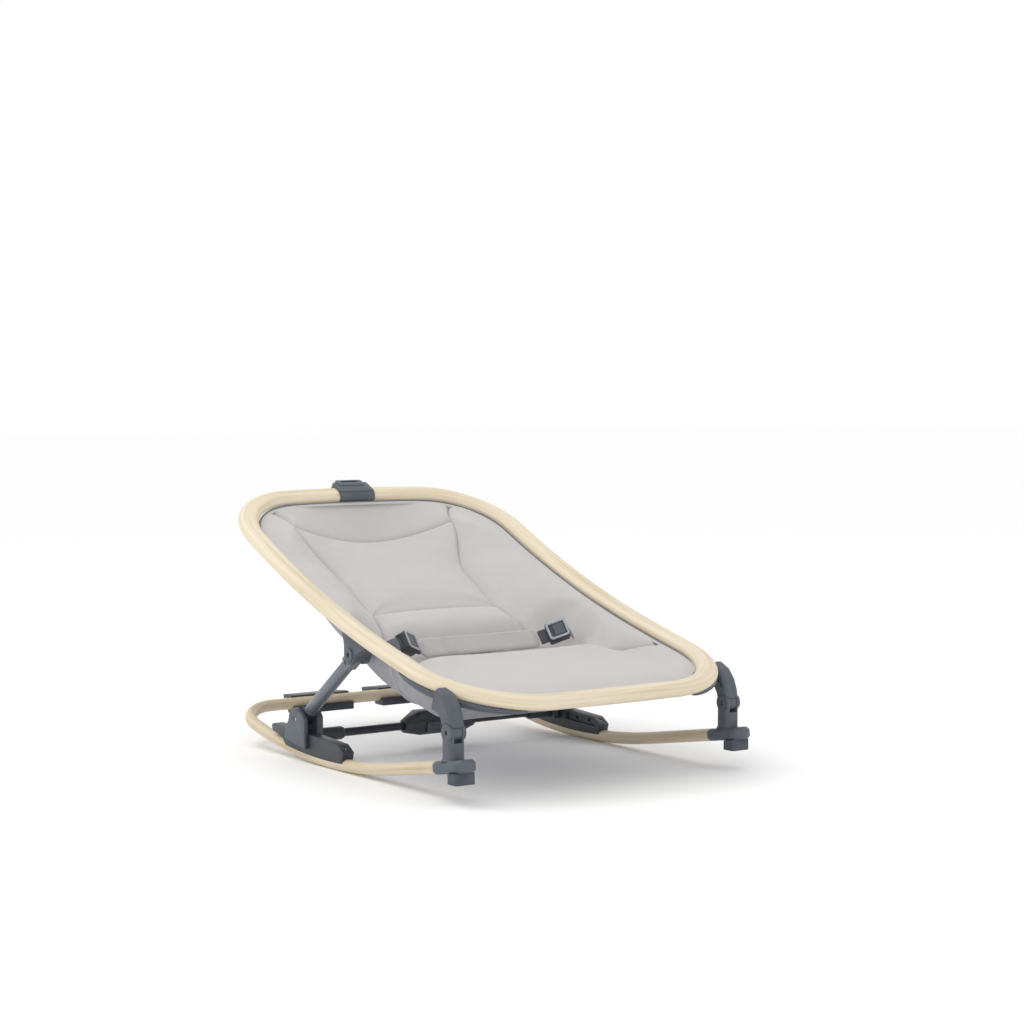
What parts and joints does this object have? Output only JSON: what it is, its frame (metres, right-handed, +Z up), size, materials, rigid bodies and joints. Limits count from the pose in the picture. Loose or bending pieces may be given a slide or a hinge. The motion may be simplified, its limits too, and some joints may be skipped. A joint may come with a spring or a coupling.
{
  "type": "bouncer seat",
  "caption": "Low baby bouncer: padded seat in a closed oval ring on a rocking tube base, with front legs, struts and sliding carriages that recline it, a waist belt and a toy-bar socket.",
  "frame": {"origin": "on the floor, in the middle of the object's plan", "axes": "+Z up, +Y towards the head end, +X towards the right as seen from the feet"},
  "size_m": [0.466, 0.6572, 0.3632],
  "materials": {
    "wood_frame": "wood-look wrap, satin",
    "slate_plastic": "moulded, fine texture",
    "dark_plastic": "satin charcoal",
    "foot_rubber": "matt",
    "strut_tube": "satin grey",
    "bar_tube": "gloss charcoal",
    "steel": "zinc plated",
    "cover_fabric": "soft jersey over padding",
    "sling_fabric": "woven backing cloth",
    "piping": "dark piping",
    "webbing": "woven webbing"
  },
  "bodies": {
    "base": {"rocker_frame": "wood_frame", "lower_leg_left": "slate_plastic", "lower_leg_right": "slate_plastic", "foot_block_left": "foot_rubber", "foot_block_right": "foot_rubber", "leg_pin_left": "steel", "leg_pin_right": "steel", "track_left": "dark_plastic", "track_right": "dark_plastic", "track_screws": "steel"},
    "seat": {"seat_ring": "wood_frame", "ring_trim": "piping", "head_socket": "slate_plastic", "upper_leg_left": "slate_plastic", "upper_leg_right": "slate_plastic", "strut_bracket_left": "slate_plastic", "strut_bracket_right": "slate_plastic", "strut_pins": "steel", "bracket_screws": "steel", "seat_sling": "sling_fabric", "head_pad": "cover_fabric", "back_pad": "cover_fabric", "bolster_left": "cover_fabric", "bolster_right": "cover_fabric", "lumbar_pad": "cover_fabric", "hollow_pad": "cover_fabric", "seat_pad": "cover_fabric", "belt_panel": "cover_fabric", "crotch_strap": "webbing", "buckle_tongue_left": "dark_plastic", "buckle_tongue_right": "dark_plastic"},
    "struts": {"strut_left": "strut_tube", "strut_right": "strut_tube", "strut_foot_left": "dark_plastic", "strut_foot_right": "dark_plastic", "carriage_pins": "steel"},
    "carriage": {"carriage_left": "slate_plastic", "carriage_right": "slate_plastic", "crossbar": "bar_tube", "sleeve_left": "dark_plastic", "sleeve_right": "dark_plastic", "hub_upper": "dark_plastic", "hub_lower": "dark_plastic"},
    "handle": {"release_handle": "slate_plastic"},
    "latch_left": {"latch_pin_left": "steel"},
    "latch_right": {"latch_pin_right": "steel"},
    "stop_left": {"rear_stop_left": "dark_plastic"},
    "stop_right": {"rear_stop_right": "dark_plastic"},
    "buckle_left": {"buckle_socket_left": "dark_plastic"},
    "buckle_right": {"buckle_socket_right": "dark_plastic"},
    "button_left": {"buckle_button_left": "slate_plastic"},
    "button_right": {"buckle_button_right": "slate_plastic"}
  },
  "joints": [
    {"name": "seat_recline", "type": "hinge", "parent": "base", "child": "seat", "pos_m": [0, -0.2784, 0.086], "axis": [1, 0, 0], "range_deg": [-15, 10]},
    {"name": "strut_swing", "type": "hinge", "parent": "seat", "child": "struts", "pos_m": [0, -0.0444, 0.156], "axis": [1, 0, 0], "range_deg": [-29, 43.5]},
    {"name": "carriage_turn", "type": "hinge", "parent": "struts", "child": "carriage", "pos_m": [0, 0.0896, 0.057], "axis": [1, 0, 0], "range_deg": [-24.5, 16.5]},
    {"name": "handle_pull", "type": "slide", "parent": "carriage", "child": "handle", "axis": [0, 1, 0], "range_m": [0, 0.006], "stiffness_N_per_m": 400, "springref_m": -0.002},
    {"name": "latch_left_slide", "type": "slide", "parent": "carriage", "child": "latch_left", "axis": [1, 0, 0], "range_m": [0, 0.0045]},
    {"name": "latch_right_slide", "type": "slide", "parent": "carriage", "child": "latch_right", "axis": [-1, 0, 0], "range_m": [0, 0.0045]},
    {"name": "rear_stop_left_flip", "type": "hinge", "parent": "base", "child": "stop_left", "pos_m": [0, 0.2772, 0.04792], "axis": [1, 0, 0], "range_deg": [-90, 0]},
    {"name": "rear_stop_right_flip", "type": "hinge", "parent": "base", "child": "stop_right", "pos_m": [0, 0.2772, 0.04792], "axis": [1, 0, 0], "range_deg": [-90, 0]},
    {"name": "buckle_left_pull", "type": "slide", "parent": "seat", "child": "buckle_left", "axis": [-0.848, -0.4176, 0.3263], "range_m": [0, 0.014]},
    {"name": "buckle_right_pull", "type": "slide", "parent": "seat", "child": "buckle_right", "axis": [0.848, -0.4176, 0.3263], "range_m": [0, 0.014]},
    {"name": "button_left_press", "type": "slide", "parent": "buckle_left", "child": "button_left", "axis": [-0.5299, 0.6683, -0.5221], "range_m": [0, 0.0022], "stiffness_N_per_m": 500, "springref_m": -0.001},
    {"name": "button_right_press", "type": "slide", "parent": "buckle_right", "child": "button_right", "axis": [0.5299, 0.6683, -0.5221], "range_m": [0, 0.0022], "stiffness_N_per_m": 500, "springref_m": -0.001}
  ],
  "couplings": [
    {"joint": "strut_swing", "follows": "seat_recline", "ratio": -2.85},
    {"joint": "carriage_turn", "follows": "seat_recline", "ratio": 1.6},
    {"joint": "latch_left_slide", "follows": "handle_pull", "ratio": 0.75},
    {"joint": "latch_right_slide", "follows": "handle_pull", "ratio": 0.75}
  ]
}
